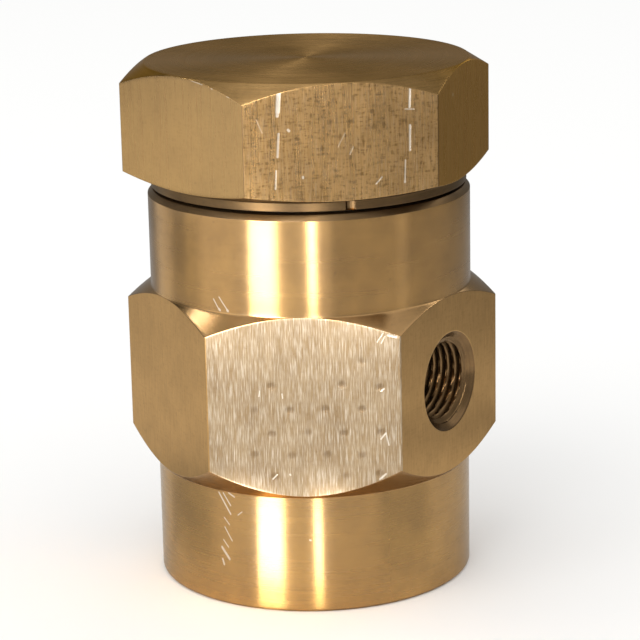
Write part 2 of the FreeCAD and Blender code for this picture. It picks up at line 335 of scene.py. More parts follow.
@dataclass
class HexColumns:
    """Columns round a hexagon bar, dense where a face needs it, with eased upright corners.

    Attributes:
        flats: distance across the flats in millimetres.
        turn_deg: angle of the first face's normal from +X.
        corner_ease: radius of the upright corners in millimetres.
        per_face: columns on each of the six faces.
    """

    flats: float
    turn_deg: float
    corner_ease: float
    per_face: tuple[int, ...]
    angle: Array = field(init=False)
    span: Array = field(init=False)
    face: Array = field(init=False)
    reach: Array = field(init=False)
    corner: Array = field(init=False)
    starts: list[int] = field(init=False)

    def __post_init__(self) -> None:
        """Work out angle, face, run along it, reach and being on a corner of every column.

        On a face the reach is half/cos(a). On a corner of radius e it solves the circle of that
        radius about the point (half - e)/cos(30) on the corner's line.
        """
        half, ease = self.flats / 2, self.corner_ease
        centre = (half - ease) / math.cos(HALF_FACE)
        edge = (half - ease) * math.tan(HALF_FACE)
        turns = np.radians(np.array([-20.0, -10.0, 0.0, 10.0, 20.0]))
        corner = HALF_FACE + np.arctan2(ease * np.sin(turns), centre + ease * np.cos(turns))
        gap = 0.08  # width of the columns beside a corner, which keep its light crisp
        angles, spans, faces, corners, self.starts = [], [], [], [], []
        total = 0
        for number, count in enumerate(self.per_face):
            inner = np.linspace(-edge + gap, edge - gap, count - 2)
            along = np.concatenate([[-edge], inner, [edge]])
            local = np.concatenate([np.arctan2(along, half), corner])
            self.starts.append(total)
            total += len(local)
            angles.append(local + math.radians(60 * number))
            spans.append(half * np.tan(np.minimum(local, HALF_FACE))
                         + np.maximum(local - HALF_FACE, 0) * half)
            faces.append(np.full(len(local), number))
            corners.append(np.arange(len(local)) >= count - 1)
        self.angle = np.concatenate(angles) + math.radians(self.turn_deg)
        self.face = np.concatenate(faces)
        self.corner = np.concatenate(corners)
        self.span = np.concatenate(spans)
        self.reach = self.reach_at(self.angle)

    def reach_at(self, angle: Array) -> Array:
        """Distance from the axis to the bar's surface at an angle from +X."""
        half, ease = self.flats / 2, self.corner_ease
        local = np.abs((angle - math.radians(self.turn_deg) + HALF_FACE) % (2 * HALF_FACE)
                       - HALF_FACE)
        from_corner = HALF_FACE - local
        centre = (half - ease) / math.cos(HALF_FACE)
        on_corner = np.tan(local) * half > (half - ease) * math.tan(HALF_FACE)
        inside = np.maximum(ease ** 2 - (centre * np.sin(from_corner)) ** 2, 0)
        return np.where(on_corner, centre * np.cos(from_corner) + np.sqrt(inside),
                        half / np.cos(local))

    def run(self) -> Array:
        """Way round the bar in millimetres, one more value than columns to close the seam."""
        side = self.flats * math.tan(HALF_FACE)
        way = self.face * side + self.span
        return np.append(way, way[0] + 6 * side)


def wrapped_lay(run: Array, level: Array) -> Array:
    """Lay map of a grid that closes on itself.

    Args:
        run: way round in millimetres, one value more than the grid has columns.
        level: (rows, columns) second coordinate in millimetres.

    Returns:
        (rows, columns + 1, 2) lay map.
    """
    level = np.concatenate([level, level[:, :1]], axis=1)
    return np.stack([np.broadcast_to(run, level.shape), level], axis=-1)


def surface_lay(run: Array, height: Array, radius: Array, shift: float) -> Array:
    """Lay map of a turned skin: the height on risers, the radius and a shift on flat rings."""
    rising = np.abs(np.gradient(height, axis=0)) > 1e-6
    return wrapped_lay(run, np.where(rising, height, radius + shift))


def ring_angles(count: int) -> Array:
    """Even angles round the axis, starting at +X."""
    return TURN * np.arange(count) / count


def around(radius: Array, angle: Array, height: Array) -> Array:
    """Turn radius, angle from +X and height into places."""
    radius, angle, height = np.broadcast_arrays(radius, angle, height)
    return np.stack([radius * np.cos(angle), radius * np.sin(angle), height], axis=-1)


def window_patch(skin: Skin, border: Array, rim: Array, place: Callable[[Array], Array],
                 finish: int, rings: int = 12, flip: bool = False) -> Array:
    """Fill the space between a window's border and a hole's rim.

    Ring k of the patch is (1 - w) * rim + w * border with w = (k / rings) ** 1.4, so rings sit
    closer together at the hole.

    Args:
        skin: piece that gets the patch.
        border: (n, 2) closed border in the surface's own two coordinates, in order.
        rim: (n, 2) points of the hole, one for each border point.
        place: turns surface coordinates into places.
        finish: slot number.
        rings: bands between hole and border.
        flip: turn the faces round.

    Returns:
        The hole's rim as places.
    """
    weight = (np.arange(rings + 1) / rings)[:, None, None] ** 1.4
    flat = (1 - weight) * rim[None] + weight * border[None]
    points = place(flat)
    closed = np.concatenate([flat, flat[:, :1]], axis=1)
    skin.add_grid(points, closed, True, finish, flip)
    return points[0]


def holed_disc(skin: Skin, outer: Array, holes: Sequence[Array], height: float, finish: int,
               up: bool) -> None:
    """Fill a flat face between an outer loop and round holes with triangles.

    Args:
        skin: piece that gets the face.
        outer: (n, 2) outer loop.
        holes: loops of the holes.
        height: height of the face in millimetres.
        finish: slot number.
        up: whether the face looks up.
    """
    loops = [outer, *holes]
    points = np.concatenate(loops)
    edges, start = [], 0
    for loop in loops:
        number = np.arange(len(loop))
        edges.append(np.stack([number, (number + 1) % len(loop)], axis=1) + start)
        start += len(loop)
    found = delaunay_2d_cdt([Vector(p) for p in points], np.concatenate(edges).tolist(), [], 0,
                            1e-7)
    flat = np.array([tuple(v) for v in found[0]])
    faces = np.array([tuple(f) for f in found[2]])
    middle = flat[faces].mean(axis=1)
    keep = np.hypot(*middle.T) < np.hypot(*outer.T).mean()
    for hole in holes:
        centre = hole.mean(axis=0)
        keep &= np.hypot(*(middle - centre).T) > np.hypot(*(hole - centre).T).min() * 0.999
    faces = faces[keep]
    a, b, c = flat[faces[:, 0]], flat[faces[:, 1]], flat[faces[:, 2]]
    turn = (b - a)[:, 0] * (c - a)[:, 1] - (b - a)[:, 1] * (c - a)[:, 0]
    wrong = (turn > 0) != up
    faces[wrong] = faces[wrong][:, ::-1]
    places = np.column_stack([flat, np.full(len(flat), height)])
    skin.add(places, faces, flat[faces] + 20.0, finish)  # clear of the bores' lay maps


def circle(radius: float, count: int, centre: tuple[float, float] = (0.0, 0.0)) -> Array:
    """Points of a circle in order, starting at +X."""
    angle = ring_angles(count)
    return np.stack([centre[0] + radius * np.cos(angle), centre[1] + radius * np.sin(angle)],
                    axis=1)


def thread_wave(phase: Array) -> Array:
    """Rounded 55 degree thread form between 0 at the crest and 1 at the root.

    The form is 1/2 + asin(0.97 sin(2 pi phase)) / pi, scaled to reach both ends.
    """
    blunt = 0.97
    return 0.5 + 0.5 * np.arcsin(blunt * np.sin(TURN * phase)) / math.asin(blunt)


@dataclass(frozen=True)
class NickGlint:
    """A mark in a metal surface painted near white as a painted highlight, in millimetres of the
    lay map.

    Attributes:
        u0: way round where the mark starts.
        v0: height there.
        u1: way round where it ends.
        v1: height there.
        width: width of the mark.
        shine: share of the painted highlight's colour.
    """

    u0: float
    v0: float
    u1: float
    v1: float
    width: float
    shine: float = 0.55


def nick_glints(*rows: tuple[float, ...]) -> tuple[NickGlint, ...]:
    """Turn rows of values into marks painted as highlights."""
    return tuple(NickGlint(*row) for row in rows)


FILM_IOR = 2.0  # an oxide film, so it whitens lamps but hardly the silhouette
MOTTLE_MM = 5.0  # aged patches
SPECK_MM = 0.55  # casting pores and water spots
HIGHLIGHT_PAINT = "#FFF6E6"  # scraped metal, painted near white as a painted highlight
SCRATCH_HIGHLIGHT = "#FBF0DD"  # rubbed scratches, painted near white as a painted highlight
MAP_RANGE = ("Value", "From Min", "From Max", "To Min", "To Max")


@dataclass(frozen=True)
class MachinedBronze:
    """Leaded gunmetal, cut on a lathe or brushed, bare and a little aged.

    Tool marks all run one way, so highlights draw out across them. The tone drifts between a
    brighter and a browner one where the metal was handled.

    Attributes:
        name: name of the material.
        grain: direction of the tool marks.
        tone: colour of the clean metal.
        aged: colour where it has browned.
        roughness: roughness along the tool marks' spread.
        stretch: how much highlights are drawn out.
        mark_width: width of one tool mark in millimetres.
        mark_length: length over which a mark fades in millimetres.
        mark_depth: depth of the marks in millimetres, as drawn.
        aging: share of the aged tone.
        streak: share of the aged tone in single tool marks.
        film: weight of the thin oxide film that adds a white haze round highlights.
        film_roughness: roughness of that film.
        edge: colour that the metal keeps at grazing angles.
        bright: share of scratches among the tool marks that are painted near white as a painted
            highlight.
        weave: share of dull cross marks left by wiping and handling.
        grime_and_dent_shade: colour of dirt in the wiping marks, also painted into the dents as
            shade.
        shades_dents: whether the piece has a "dent" attribute, 1 in its vice marks, which are
            darkened there as painted shade.
        nick_glints: marks painted near white as highlights.
    """

    name: str
    grain: Grain
    tone: str
    aged: str
    roughness: float
    stretch: float
    mark_width: float
    mark_length: float
    mark_depth: float
    aging: float = 0.5
    streak: float = 0.35
    film: float = 0.0
    film_roughness: float = 0.5
    edge: str = "#D7D3CB"
    bright: float = 0.0
    weave: float = 0.1
    grime_and_dent_shade: str = "#6B4F2C"
    shades_dents: bool = False
    nick_glints: tuple[NickGlint, ...] = ()

    def material(self) -> bpy.types.Material:
        """Build the finish from noise patterns that are laid along the tool marks."""
        material, tree = blank_material(self.name)
        lay = add_node(tree, "UVMap", uv_map="lay")
        lay_mm = add_node(tree, "VectorMath", {0: lay, "Scale": LAY_SPAN}, operation="SCALE")
        place = add_node(tree, "TexCoord", out="Object")
        mark = [1 / self.mark_width, 1 / self.mark_length, 1.0]
        if self.grain is not Grain.UPRIGHT:
            mark = [mark[1], mark[0], 1.0]
        # Per pattern: coordinates, periods per unit of them on each axis, detail, roughness.
        # Tool marks are drawn 0.12 mm wide and more; real ones, finer, wouldn't show.
        patterns = {
            "marks": (lay_mm, mark, 3.0, 0.6),
            "bands": (lay_mm, [0.17 * m for m in mark], 2.0, 0.5),
            "patches": (place, [1000 / MOTTLE_MM] * 3, 5.0, 0.62),
            "specks": (place, [1000 / SPECK_MM] * 3, 2.0, 0.5),
            "wiped_up": (lay_mm, (1 / 0.28, 1 / 1.3, 1), 2.0, 0.6),
            "wiped_across": (lay_mm, (1 / 1.1, 1 / 0.3, 1), 2.0, 0.6)}
        if self.bright > 0:
            patterns["scratches"] = (lay_mm, (1 / 0.1, 1 / 2.4, 1), 2.0, 0.7)
        noise = {}
        for name, (at, periods, detail, rough) in patterns.items():
            spot = add_node(tree, "VectorMath", {0: at, 1: periods}, operation="MULTIPLY")
            noise[name] = add_node(
                tree, "TexNoise",
                {"Vector": spot, "Scale": 1.0, "Detail": detail, "Roughness": rough},
                noise_dimensions="3D" if at is place else "2D")
        wiped = add_node(tree, "Math", {0: noise["wiped_across"], 1: noise["wiped_up"]},
                         operation="MULTIPLY")
        # Per effect: pattern, values of it where the effect starts and is full, its bounds.
        effects = {
            "aged": (noise["patches"], 0.35, 0.7, 0.0, self.aging),
            "streaked": (noise["marks"], 0.3, 0.75, 0.0, self.streak),
            "spotted": (noise["specks"], 0.68, 0.74, 0.0, 0.3),
            "rough": (noise["bands"], 0.3, 0.7, self.roughness * 0.94, self.roughness * 1.06),
            "soiled": (wiped, 0.24, 0.42, 0.0, self.weave)}
        # Scratches whose near-white colour is a painted highlight.
        if self.bright > 0:
            effects["fresh"] = (noise["scratches"], 0.46, 0.8, 0.0, self.bright)
        share = {name: add_node(tree, "MapRange", dict(zip(MAP_RANGE, row)))
                 for name, row in effects.items()}
        browned = share["aged"]
        for more in ("streaked", "spotted"):
            browned = add_node(tree, "Math", {0: browned, 1: share[more]}, operation="ADD",
                               use_clamp=True)
        coats = [(browned, self.aged), (share["soiled"], self.grime_and_dent_shade)]
        reliefs = [(noise["bands"], 1.5)]
        # Scratches painted near white: painted highlights.
        if self.bright > 0:
            coats.append((share["fresh"], SCRATCH_HIGHLIGHT))
            reliefs.append((noise["scratches"], 1.2))
        # Vice marks darkened with the dirt colour: painted shade.
        if self.shades_dents:
            dent = add_node(tree, "Attribute", out="Fac", attribute_name="dent")
            coats.append((add_node(tree, "Math", {0: dent, 1: 0.5}, operation="MULTIPLY"),
                          self.grime_and_dent_shade))
        # Marks painted near white: painted highlights.
        if self.nick_glints:
            highlight_mask = self.nick_glint_mask(tree, lay_mm)
            coats.append((highlight_mask, HIGHLIGHT_PAINT))
            reliefs.append((highlight_mask, -2.5))
        colour = linear(self.tone)
        for factor, paint in coats:
            colour = add_node(tree, "Mix", {"Factor": factor, "A": colour, "B": linear(paint)},
                              out="Result", data_type="RGBA")
        height = noise["marks"]
        for pattern, gain in reliefs:
            height = add_node(tree, "Math", {0: pattern, 1: gain, 2: height},
                              operation="MULTIPLY_ADD")
        relief = add_node(tree, "Bump", {"Strength": 1.0, "Distance": self.mark_depth * MM,
                                         "Height": height})
        tangent = add_node(tree, "Tangent", direction_type="RADIAL",
                           axis="X" if self.grain is Grain.ALONG_PORT else "Z")
        metal = add_node(tree, "BsdfPrincipled",
                         {"Base Color": colour, "Metallic": 1.0, "Roughness": share["rough"],
                          "Anisotropic": self.stretch,
                          "Anisotropic Rotation": 0.0 if self.grain is Grain.UPRIGHT else 0.25,
                          "Coat Weight": self.film, "Coat Roughness": self.film_roughness,
                          "Coat IOR": FILM_IOR, "Specular Tint": linear(self.edge),
                          "Normal": relief, "Tangent": tangent})
        add_node(tree, "OutputMaterial", {"Surface": metal})
        return material

    def nick_glint_mask(self, tree: bpy.types.NodeTree,
                  lay_mm: bpy.types.NodeSocket) -> bpy.types.NodeSocket:
        """Mask that is 1 on the marks painted as highlights.

        The distance to a mark's line a-b is |p - a - t (b - a)| with t the share of the line
        nearest to p, kept between 0 and 1.
        """
        mask = None
        for nick in self.nick_glints:
            a = Vector((nick.u0, nick.v0, 0))
            line = Vector((nick.u1, nick.v1, 0)) - a
            away = add_node(tree, "VectorMath", {0: lay_mm, 1: a}, operation="SUBTRACT")
            share = add_node(tree, "VectorMath",
                             {0: away, 1: line / max(line.length_squared, 1e-6)},
                             out="Value", operation="DOT_PRODUCT")
            share = add_node(tree, "Math", {0: share, 1: 0.0}, operation="ADD", use_clamp=True)
            foot = add_node(tree, "VectorMath", {0: line, "Scale": share}, operation="SCALE")
            gap = add_node(tree, "VectorMath", {0: away, 1: foot}, out="Value",
                           operation="DISTANCE")
            one = add_node(tree, "MapRange", dict(zip(MAP_RANGE, (
                gap, nick.width * 0.35, nick.width * 0.75, nick.shine, 0.0))))
            mask = one if mask is None else add_node(tree, "Math", {0: mask, 1: one},
                                                     operation="MAXIMUM")
        return mask


@dataclass(frozen=True)
class TurnedStainless:
    """Stainless steel bar turned on a lathe: cool grey with fine rings round the axis."""

    name: str = "stainless_turned"
    tone: str = "#B9B6B0"
    roughness: float = 0.3

    def material(self) -> bpy.types.Material:
        """Build the finish; rings 0.12 mm apart come from the height and the radius."""
        material, tree = blank_material(self.name)
        place = add_node(tree, "TexCoord", out="Object")
        rings_at = add_node(tree, "VectorMath", {0: place, 1: (150, 150, 8000)},
                            operation="MULTIPLY")
        rings = add_node(tree, "TexNoise", {"Vector": rings_at, "Scale": 1.0, "Detail": 2.0})
        relief = add_node(tree, "Bump", {"Strength": 0.6, "Distance": 0.004 * MM,
                                         "Height": rings})
        rough = add_node(tree, "MapRange",
                         {"Value": rings, "To Min": self.roughness * 0.8,
                          "To Max": self.roughness * 1.25})
        tangent = add_node(tree, "Tangent", direction_type="RADIAL", axis="Z")
        metal = add_node(tree, "BsdfPrincipled",
                         {"Base Color": linear(self.tone), "Metallic": 1.0, "Roughness": rough,
                          "Anisotropic": 0.5, "Anisotropic Rotation": 0.25, "Normal": relief,
                          "Tangent": tangent})
        add_node(tree, "OutputMaterial", {"Surface": metal})
        return material


@dataclass(frozen=True)
class DrawnWire:
    """Stainless spring wire, drawn through a die: smooth, with faint lines along the wire."""

    name: str = "spring_wire"
    tone: str = "#A9A7A2"
    roughness: float = 0.22

    def material(self) -> bpy.types.Material:
        """Build the finish; die lines are 0.1 mm apart round the wire."""
        material, tree = blank_material(self.name)
        lay = add_node(tree, "UVMap", uv_map="lay")
        lines_at = add_node(tree, "VectorMath", {0: lay, 1: (LAY_SPAN / 6, LAY_SPAN * 10, 1)},
                            operation="MULTIPLY")
        lines = add_node(tree, "TexNoise", {"Vector": lines_at, "Scale": 1.0, "Detail": 2.0},
                         noise_dimensions="2D")
        rough = add_node(tree, "MapRange",
                         {"Value": lines, "To Min": self.roughness * 0.8,
                          "To Max": self.roughness * 1.3})
        relief = add_node(tree, "Bump", {"Strength": 0.5, "Distance": 0.003 * MM,
                                         "Height": lines})
        metal = add_node(tree, "BsdfPrincipled",
                         {"Base Color": linear(self.tone), "Metallic": 1.0, "Roughness": rough,
                          "Normal": relief})
        add_node(tree, "OutputMaterial", {"Surface": metal})
        return material


@dataclass(frozen=True)
class MouldedSoft:
    """Soft or fibrous sheet and moulded polymer: dull, evenly coloured, finely grained."""

    name: str
    tone: str
    shade: str
    roughness: float
    grain_mm: float
    relief_mm: float

    def material(self) -> bpy.types.Material:
        """Build the finish from one grain noise at its real size."""
        material, tree = blank_material(self.name)
        place = add_node(tree, "TexCoord", out="Object")
        grain = add_node(tree, "TexNoise",
                         {"Vector": place, "Scale": 1000 / self.grain_mm, "Detail": 4.0,
                          "Roughness": 0.6})
        colour = add_node(tree, "Mix",
                          {"Factor": grain, "A": linear(self.tone), "B": linear(self.shade)},
                          out="Result", data_type="RGBA")
        relief = add_node(tree, "Bump",
                          {"Strength": 0.7, "Distance": self.relief_mm * MM,
                           "Height": grain})
        stuff = add_node(tree, "BsdfPrincipled",
                         {"Base Color": colour, "Roughness": self.roughness, "IOR": 1.5,
                          "Normal": relief})
        add_node(tree, "OutputMaterial", {"Surface": stuff})
        return material


# Brushed upright, then rubbed: pale, with scratches painted near white as a sparkling painted
# highlight, and vice marks darkened as painted shade.
HEX_FRONT = MachinedBronze(
    "bronze_rubbed_face", Grain.UPRIGHT, "#AE9470", "#8D7352", 0.3, 0.3, 0.16, 4.0, 0.006,
    film=0.072, bright=0.6, weave=0.12, shades_dents=True, nick_glints=nick_glints(
        (112.18, 25.23, 112.5, 25.5, 0.13), (112.11, 19.88, 112.65, 20.55, 0.15),
        (112.65, 20.55, 112.95, 19.21, 0.13), (100.43, 15.42, 100.88, 15.87, 0.13),
        (111.94, 15.38, 112.59, 15.95, 0.17), (111.83, 30.63, 112.48, 31.61, 0.09),
        (112.25, 30.52, 112.68, 31.28, 0.09), (113.0, 31.39, 113.84, 31.17, 0.21),
        (102.28, 15.93, 102.33, 15.87, 0.17), (99.16, 24.74, 99.23, 25.29, 0.11),
        (101.63, 24.95, 101.68, 24.5, 0.13)))
# Brushed upright and left alone: even honey tone, lamps smeared up and down.
HEX_BRUSHED = MachinedBronze("bronze_brushed_flats", Grain.UPRIGHT, "#BC9561", "#8F7048", 0.3,
                             0.3, 0.14, 3.5, 0.004, aging=0.3, weave=0.15)
# Turned on a lathe: hoops too fine to see draw each lamp out into an upright band, under an
# oxide film that pales its sides. Something scraped the lower end; its short strokes are
# painted white as painted highlights.
LOW_TURNED = MachinedBronze(
    "bronze_turned_low", Grain.AROUND, "#B98F50", "#8E6C40", 0.27, 1.0, 0.12, 5.0, 0.001,
    streak=0.06, film=0.29, film_roughness=0.25, weave=0.03, nick_glints=nick_glints(
        (92.26, 12.85, 94.23, 10.61, 0.19), (93.01, 12.91, 94.27, 11.6, 0.15),
        (93.98, 13.03, 94.92, 12.65, 0.15), (93.07, 10.09, 93.98, 9.35, 0.12),
        (93.13, 8.99, 94.35, 7.54, 0.14), (92.84, 7.47, 93.68, 6.72, 0.14),
        (92.53, 6.56, 93.8, 5.37, 0.29), (92.57, 5.19, 92.81, 4.62, 0.24),
        (95.42, 10.64, 96.05, 11.06, 0.11), (104.26, 8.36, 104.37, 8.3, 0.15)))
# The same with a finer feed, so its bands have crisper sides; a few scratches are painted near
# white as highlights.
HIGH_TURNED = MachinedBronze(
    "bronze_turned_high", Grain.AROUND, "#BB9052", "#87663C", 0.26, 1.0, 0.12, 5.0, 0.001,
    streak=0.06, film=0.29, film_roughness=0.2, weave=0.03, nick_glints=nick_glints(
        (92.62, 34.73, 93.51, 33.66, 0.14), (93.52, 33.71, 93.69, 33.62, 0.25),
        (93.58, 35.04, 94.84, 33.78, 0.14), (94.84, 33.72, 94.99, 33.63, 0.25)))
# Brushed cap: smoother than the body's flats, with small knocks on the upper edge painted near
# white as highlights.
CAP_BRUSHED = MachinedBronze(
    "brass_brushed_flats", Grain.UPRIGHT, "#B9945E", "#90714A", 0.28, 0.3, 0.14, 2.5, 0.002,
    aging=0.25, streak=0.1, film=0.14, edge="#D7B98F", weave=0.12, nick_glints=nick_glints(
        (85.35, 58.18, 87.17, 57.96, 0.2), (88.64, 57.7, 88.8, 57.61, 0.14),
        (91.22, 57.16, 91.54, 57.09, 0.2), (-4.59, 55.54, -4.59, 55.43, 0.24)))
# Scored by spanners and soiled: brown cross marks, with two rows of upright dashes painted bright
# as highlights.
CAP_FRONT = MachinedBronze(
    "brass_scored_face", Grain.UPRIGHT, "#BF9761", "#8D6E45", 0.28, 0.3, 0.16, 4.0, 0.005,
    streak=0.45, bright=0.1, weave=0.7, nick_glints=nick_glints(
        (97.42, 57.63, 97.26, 55.56, 0.4, 0.7), (97.21, 55.35, 97.2, 55.14, 0.29),
        (97.31, 53.26, 97.15, 50.85, 0.21, 0.45), (96.96, 49.39, 96.86, 47.49, 0.17, 0.4),
        (111.31, 57.31, 111.24, 55.32, 0.2, 0.75), (110.76, 55.13, 111.72, 55.08, 0.11),
        (111.27, 53.41, 111.24, 50.77, 0.19, 0.6), (110.75, 49.73, 110.67, 47.6, 0.14, 0.45),
        (110.67, 47.5, 110.67, 47.39, 0.19), (103.56, 51.53, 104.33, 52.96, 0.1, 0.25),
        (104.82, 50.72, 105.16, 51.44, 0.14, 0.3), (107.55, 47.37, 108.2, 48.07, 0.12, 0.5),
        (98.32, 53.62, 98.42, 53.51, 0.24), (99.79, 48.58, 99.79, 48.48, 0.21),
        (95.0, 54.85, 95.59, 53.46, 0.11, 0.2)))
# Turned edges in the cap's shelter, also used on its upright corners: dull, and dark with painted
# shade.
SHADE_PAINTED_EDGES = MachinedBronze("bronze_shade_painted_edges", Grain.AROUND, "#6E5431", "#463520", 0.36,
                           0.3, 0.12, 3.0, 0.003, film=0.11, film_roughness=0.35, weave=0.3)
# Faced on a lathe: rings round the middle, which turn lamps into a soft two-armed fan.
CAP_TURNED = MachinedBronze("brass_turned", Grain.AROUND, "#B18D5B", "#7C623E", 0.28, 0.8,
                            0.14, 12.0, 0.003, edge="#D7BF9C")
# The cones were cut with one pass of a fine form tool, so lamps stay narrow and sharp in them.
CONE_TURNED = MachinedBronze("bronze_form_cut_cone", Grain.AROUND, "#B38C59", "#866841", 0.2,
                             0.3, 0.12, 8.0, 0.001, streak=0.05, film=0.14,
                             film_roughness=0.14, weave=0.03)
# Bored and tapped: deep brown, a painted shade inside the bores, with light only on the crests.
BORE_SHADE_PAINTED = MachinedBronze("bronze_bore_shade_painted", Grain.ALONG_PORT, "#8A6A42", "#4F3B22", 0.24, 0.3,
                          0.12, 9.0, 0.003, film=0.13, film_roughness=0.2)
# Turned bar stock: cool grey, with a soft sheen across its rings.
STAINLESS = TurnedStainless()
# Drawn wire: darker and smoother, so each coil shows one sharp line of light.
SPRING_WIRE = DrawnWire()
# Moulded rubber is nearly black and matt, pressed fibre brown and dry, and the moulded guide
# milky with a soft shine.
FACING = MouldedSoft("nitrile_facing", "#1F1E1C", "#2A2826", 0.62, 0.4, 0.01)
FIBRE = MouldedSoft("gasket_fibre", "#2E261D", "#3D3226", 0.85, 0.35, 0.02)
GUIDE = MouldedSoft("guide_polymer", "#E6E2D6", "#DAD5C7", 0.45, 0.8, 0.004)


@dataclass
class Body:
    """Bronze body: lower round end, hexagon with the air inlet, upper round end, all bores.

    All sizes are millimetres and degrees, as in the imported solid. Each dimple is its way along
    the front face, its height and its strength.
    """

    flats: float = 36.0
    height: float = 44.3
    low_r: float = 17.7
    high_r: float = 17.95
    low_corner_z: float = 16.3
    high_corner_z: float = 31.2
    low_slope_deg: float = 46.0
    high_slope_deg: float = 36.8
    port_z: float = 23.65
    port_r: float = 4.864
    port_mouth_r: float = 5.5
    port_depth: float = 9.5
    port_pitch: float = 0.907
    port_minor_r: float = 4.283
    port_thread_x: tuple[float, float] = (9.2, 17.36)
    drill_r: float = 2.5
    system_r: float = 10.478
    system_minor_r: float = 9.316
    system_mouth_r: float = 11.3
    system_depth: float = 15.0
    system_pitch: float = 1.814
    system_thread_z: tuple[float, float] = (0.83, 13.6)
    recess_r: float = 16.25
    recess_depth: float = 0.65
    cap_bore_r: float = 13.55
    undercut_r: float = 14.15
    undercut_z: tuple[float, float] = (36.25, 37.65)
    chamber_floor_z: float = 31.0
    chamber_r: float = 12.4
    passage_r: float = 1.8
    passage_circle_r: float = 8.2
    seat_hole_r: float = 5.0
    gallery_r: float = 3.9
    gallery_top_z: float = 27.0
    gallery_floor_z: float = 20.45
    gallery_point_z: float = 18.107
    dimples: tuple[tuple[float, float, float], ...] = (
        (-3.45, 25.84, 0.8), (4.12, 25.97, 0.9), (8.16, 25.67, 0.9), (-5.23, 23.18, 0.5),
        (-1.48, 23.16, 0.9), (2.31, 23.26, 0.9), (6.21, 23.24, 1.0), (-3.47, 20.49, 1.0),
        (0.39, 20.7, 0.5), (4.24, 20.57, 1.0), (8.2, 20.66, 1.0), (-5.36, 18.25, 0.8),
        (-1.38, 18.12, 0.9), (2.48, 18.22, 0.9), (6.13, 18.09, 0.8), (-3.27, 15.76, 0.9),
        (4.43, 15.85, 0.5), (8.03, 16.06, 1.0), (6.18, 28.55, 0.4))
    dimple_half: tuple[float, float] = (0.6, 0.5)
    dimple_depth: float = 0.05

    def columns(self) -> HexColumns:
        """Columns round the body; the face at -60 degrees is the marked one."""
        return HexColumns(self.flats, 0.0, 0.22, (46, 32, 40, 32, 46, 122))

    def dent_depth(self, along: Array, height: Array) -> Array:
        """Depth of the vice marks on the front face.

        Each mark is d * max(0, 1 - (x/a)^2 - (z/b)^2)^1.5, a shallow pillow a wide, b high.
        """
        depth = np.zeros_like(along)
        a, b = self.dimple_half
        for x, z, strength in self.dimples:
            inside = np.maximum(0, 1 - ((along - x) / a) ** 2 - ((height - z) / b) ** 2)
            depth += self.dimple_depth * strength * inside ** 1.5
        return depth

    def outside(self, skin: Skin, cols: HexColumns) -> None:
        """Outer skin from the lower bore's roof round the outside to the chamber floor."""
        reach = cols.reach
        low_slope = math.tan(math.radians(self.low_slope_deg))
        high_slope = math.tan(math.radians(self.high_slope_deg))
        corner = self.flats / 2 / math.cos(HALF_FACE)
        low_z = self.low_corner_z - (corner - reach) * low_slope
        high_z = self.high_corner_z + (corner - reach) * high_slope
        low_start = self.low_corner_z - (corner - self.low_r) * low_slope
        high_end = self.high_corner_z + (corner - self.high_r) * high_slope
        mouth_z = self.system_mouth_r - self.system_r
        recess_z = self.height - self.recess_depth
        under_low, under_high = self.undercut_z
        bends = [
            Bend(self.system_r, self.system_depth, 0, 3, BodyCut.LOW),
            Bend(self.system_r, mouth_z, 0.1, 1, BodyCut.LOW),
            Bend(self.system_mouth_r, 0, 0.1, 4, BodyCut.LOW),
            Bend(self.low_r - 0.3, 0, 0.08, 1, BodyCut.LOW),
            Bend(self.low_r, 0.3, 0.1, 26, BodyCut.LOW),
            Bend(self.low_r, low_start, 0.12, 7, BodyCut.CONE),
            Bend(reach, low_z, 0.07, 92, BodyCut.FLAT),
            Bend(reach, high_z, 0.06, 8, BodyCut.CONE),
            Bend(self.high_r, high_end, 0.12, 22, BodyCut.HIGH),
            # The top edge under the cap takes the dark finish: painted shade.
            Bend(self.high_r, self.height - 0.6, 0.05, 2, BodyCut.TOP_EDGE),
            Bend(self.high_r - 0.5, self.height, 0.05, 1, BodyCut.TOP_EDGE),
            Bend(self.recess_r, self.height, 0.05, 1, BodyCut.HIGH),
            Bend(self.recess_r, recess_z, 0.05, 3, BodyCut.LOW),
            Bend(self.cap_bore_r, recess_z, 0.1, 4, BodyCut.LOW),
            Bend(self.cap_bore_r, under_high, 0, 1, BodyCut.LOW),
            Bend(self.undercut_r, under_high, 0, 1, BodyCut.LOW),
            Bend(self.undercut_r, under_low, 0, 1, BodyCut.LOW),
            Bend(self.chamber_r, under_low, 0, 3, BodyCut.LOW),
            Bend(self.chamber_r, self.chamber_floor_z, 0, 1, BodyCut.LOW),
        ]
        radius, height, bands, legs = section_rows(bends, len(reach))
        bottom, above = legs[6:8]  # first rows of the flats and of the upper cone
        front = cols.face == FRONT_FACE
        along = np.broadcast_to(cols.span, radius.shape)
        radius[bottom:above] -= np.where(front, self.dent_depth(along, height), 0)[bottom:above]
        points = around(radius, cols.angle[None], height)
        rows, count = radius.shape
        band_no = np.repeat(np.arange(rows - 1), count)
        column_no = np.tile(np.arange(count), rows - 1)
        # The window leaves out the eased corner beside the face, and the rows that ease its top.
        first, last = cols.starts[0], cols.starts[1] - 6
        top = above - 4
        window = ((band_no >= bottom) & (band_no < top)
                  & (column_no >= first) & (column_no < last))
        rubbed = (bands[band_no] == BodyCut.FLAT) & front[column_no]
        skin.add_grid(points, surface_lay(cols.run(), height, radius, 50), True,
                      np.where(rubbed, BodyCut.FRONT, bands[band_no]), keep=~window)
        side = [points[bottom, first:last + 1], points[bottom + 1:top + 1, last],
                points[top, first:last][::-1], points[bottom + 1:top, first][::-1]]
        self.inlet(skin, np.concatenate(side)[:, 1:])
        self.inner_faces(skin, points[0], points[-1])

